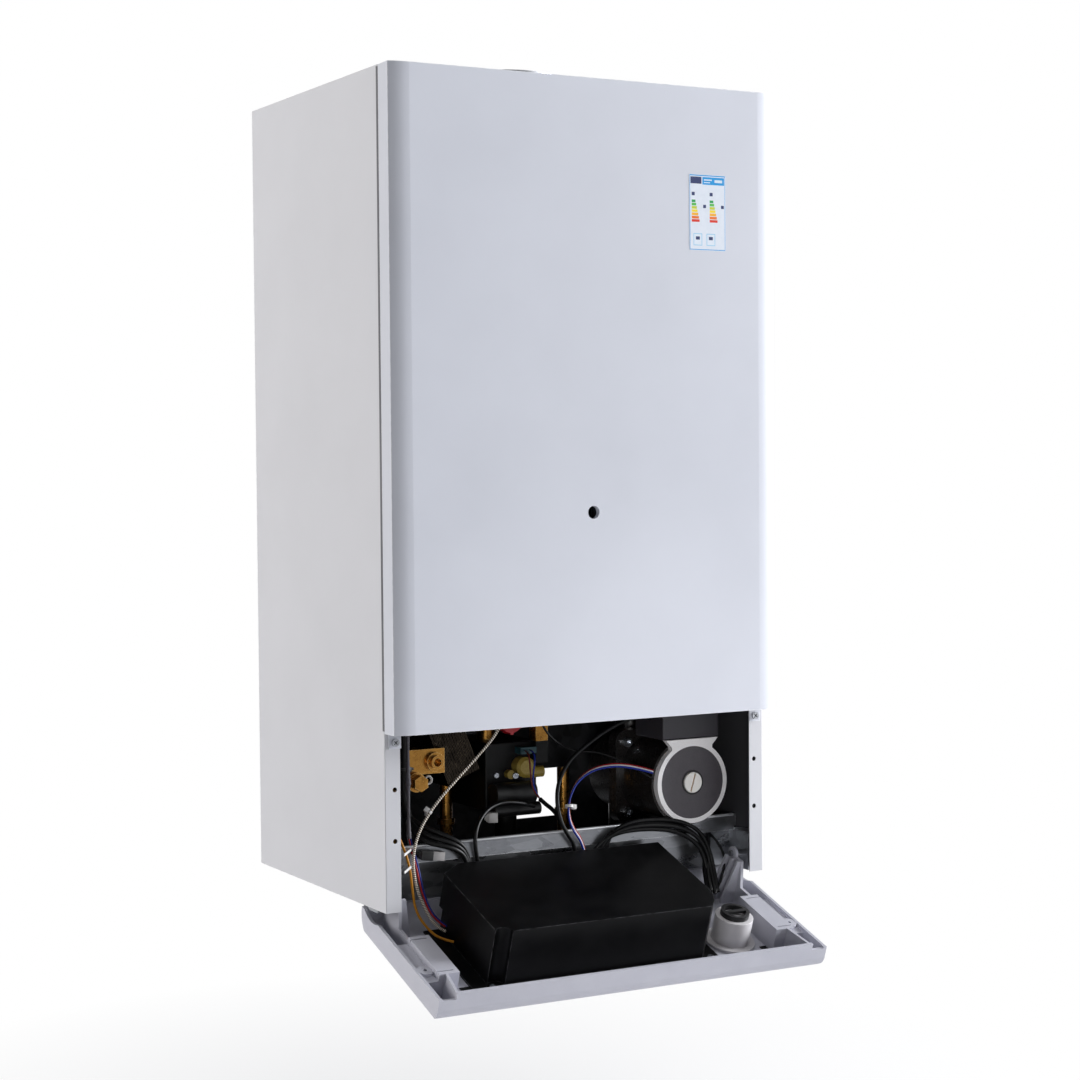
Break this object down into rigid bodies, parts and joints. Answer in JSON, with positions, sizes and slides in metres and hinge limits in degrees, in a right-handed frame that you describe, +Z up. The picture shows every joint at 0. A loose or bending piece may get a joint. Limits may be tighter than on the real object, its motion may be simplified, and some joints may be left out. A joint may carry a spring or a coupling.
{
  "type": "wall-mounted gas boiler",
  "caption": "Wall-mounted gas boiler with a grey sheet casing, a flue collar on top and a hinged control panel hanging open below its service bay.",
  "frame": {"origin": "on the wall plane, at the casing's middle and its lower edge", "axes": "+X to the right as seen from the front, +Y into the wall, +Z up"},
  "size_m": [0.4, 0.3955, 0.8377],
  "materials": {
    "cover_paint": "smooth pale lavender-grey enamel",
    "casing_paint": "smooth warm grey enamel",
    "galvanised": "galvanised sheet",
    "zinc_screw": "zinc-plated steel",
    "collar_alloy": "cast alloy, painted grey",
    "glass": "clear pane",
    "brass": "machined brass",
    "copper": "bright copper",
    "steel_plates": "pressed stainless steel",
    "fibre_board": "pale ceramic fibre board",
    "vessel_red": "red enamel",
    "pump_grey": "light grey plastic",
    "pump_plate": "satin alloy plate",
    "pump_screw": "bright plated screw",
    "pump_black": "black paint",
    "dark_plastic": "dark grey plastic",
    "black_plastic": "black plastic",
    "panel_plastic": "lavender-grey plastic",
    "gauge_white": "off-white plastic",
    "needle_red": "red enamel",
    "board_green": "green laminate",
    "valve_alloy": "die-cast alloy",
    "cap_olive": "olive plastic",
    "plug_teal": "teal plastic",
    "knob_red": "red plastic",
    "braid_white": "off-white sleeve",
    "lead_amber": "amber insulation",
    "lead_black": "black insulation",
    "lead_colours": "red, white and blue insulation"
  },
  "bodies": {
    "casing": {"amber_lead": "lead_amber", "black_leads": "lead_black", "braided_lead": "braid_white", "burner": "steel_plates", "chamber_door": "galvanised", "coloured_leads": "lead_colours", "combustion_box": "fibre_board", "diverter_motor": "black_plastic", "electrodes": "steel_plates", "expansion_vessel": "vessel_red", "fan_housing": "galvanised", "fan_motor": "dark_plastic", "flow_group": "brass", "flow_pipe": "copper", "flue_collar": "collar_alloy", "gas_coils": "black_plastic", "gas_manifold": "brass", "gas_valve": "valve_alloy", "governor_cap": "cap_olive", "governor_plug": "plug_teal", "heat_exchanger": "copper", "heating_tails": "brass", "hinge_brackets": "galvanised", "left_side_panel": "casing_paint", "plate_heat_exchanger": "steel_plates", "pump_body": "pump_black", "pump_face_plate": "pump_plate", "pump_front_ring": "pump_grey", "pump_motor_can": "pump_black", "pump_screws": "zinc_screw", "pump_terminal_box": "dark_plastic", "rear_frame": "galvanised", "return_pipe": "copper", "right_side_panel": "casing_paint", "safety_valve": "brass", "sealed_chamber": "galvanised", "service_tray": "galvanised", "sight_glass": "glass", "smoke_hood": "galvanised", "top_panel": "casing_paint", "wall_bracket": "galvanised", "water_tails": "brass"},
    "front_cover": {"front_cover": "cover_paint", "cover_screws": "zinc_screw"},
    "control_panel": {"control_panel": "panel_plastic", "electronics_cover": "black_plastic", "case_screws": "zinc_screw", "control_board": "board_green", "gauge": "gauge_white", "gauge_clip": "black_plastic", "display_window": "glass"},
    "gauge_needle": {"gauge_needle": "needle_red"},
    "button_minus": {"button_minus": "black_plastic"},
    "button_plus": {"button_plus": "black_plastic"},
    "button_reset": {"button_reset": "black_plastic"},
    "fan_wheel": {"fan_wheel": "dark_plastic"},
    "pump_impeller": {"pump_impeller": "dark_plastic"},
    "pump_bleed_screw": {"pump_bleed_screw": "pump_screw"},
    "safety_knob": {"safety_knob": "knob_red"},
    "diverter_spindle": {"diverter_spindle": "steel_plates"}
  },
  "joints": [
    {"name": "panel_hinge", "type": "hinge", "parent": "casing", "child": "control_panel", "pos_m": [0, -0.2672, 0.0145], "axis": [1, 0, 0], "range_deg": [-109, 0], "deforming": ["braided_lead", "amber_lead", "black_leads", "coloured_leads"]},
    {"name": "cover_pull", "type": "slide", "parent": "casing", "child": "front_cover", "axis": [0, -1, 0], "range_m": [0, 0.12]},
    {"name": "fan_spin", "type": "hinge", "parent": "casing", "child": "fan_wheel", "pos_m": [0, -0.15, 0.615], "axis": [0, 1, 0], "continuous": true},
    {"name": "pump_spin", "type": "hinge", "parent": "casing", "child": "pump_impeller", "pos_m": [0.143, -0.2, 0.085], "axis": [0, 1, 0], "continuous": true},
    {"name": "bleed_screw_turn", "type": "hinge", "parent": "casing", "child": "pump_bleed_screw", "pos_m": [0.143, -0.255, 0.085], "axis": [0, 1, 0], "range_deg": [0, 360]},
    {"name": "safety_valve_turn", "type": "hinge", "parent": "casing", "child": "safety_knob", "pos_m": [-0.027, -0.19, 0.151], "axis": [0, 1, 0], "range_deg": [0, 90]},
    {"name": "diverter_stroke", "type": "slide", "parent": "casing", "child": "diverter_spindle", "axis": [0, 0, 1], "range_m": [0, 0.006]},
    {"name": "needle_turn", "type": "hinge", "parent": "control_panel", "child": "gauge_needle", "pos_m": [0.134, -0.32964, -0.05756], "axis": [0, 0.3256, -0.9455], "range_deg": [0, 240]},
    {"name": "button_minus_press", "type": "slide", "parent": "control_panel", "child": "button_minus", "axis": [0, -0.3256, 0.9455], "range_m": [0, 0.0012], "stiffness_N_per_m": 500, "springref_m": -0.001},
    {"name": "button_plus_press", "type": "slide", "parent": "control_panel", "child": "button_plus", "axis": [0, -0.3256, 0.9455], "range_m": [0, 0.0012], "stiffness_N_per_m": 500, "springref_m": -0.001},
    {"name": "button_reset_press", "type": "slide", "parent": "control_panel", "child": "button_reset", "axis": [0, -0.3256, 0.9455], "range_m": [0, 0.0012], "stiffness_N_per_m": 500, "springref_m": -0.001}
  ]
}
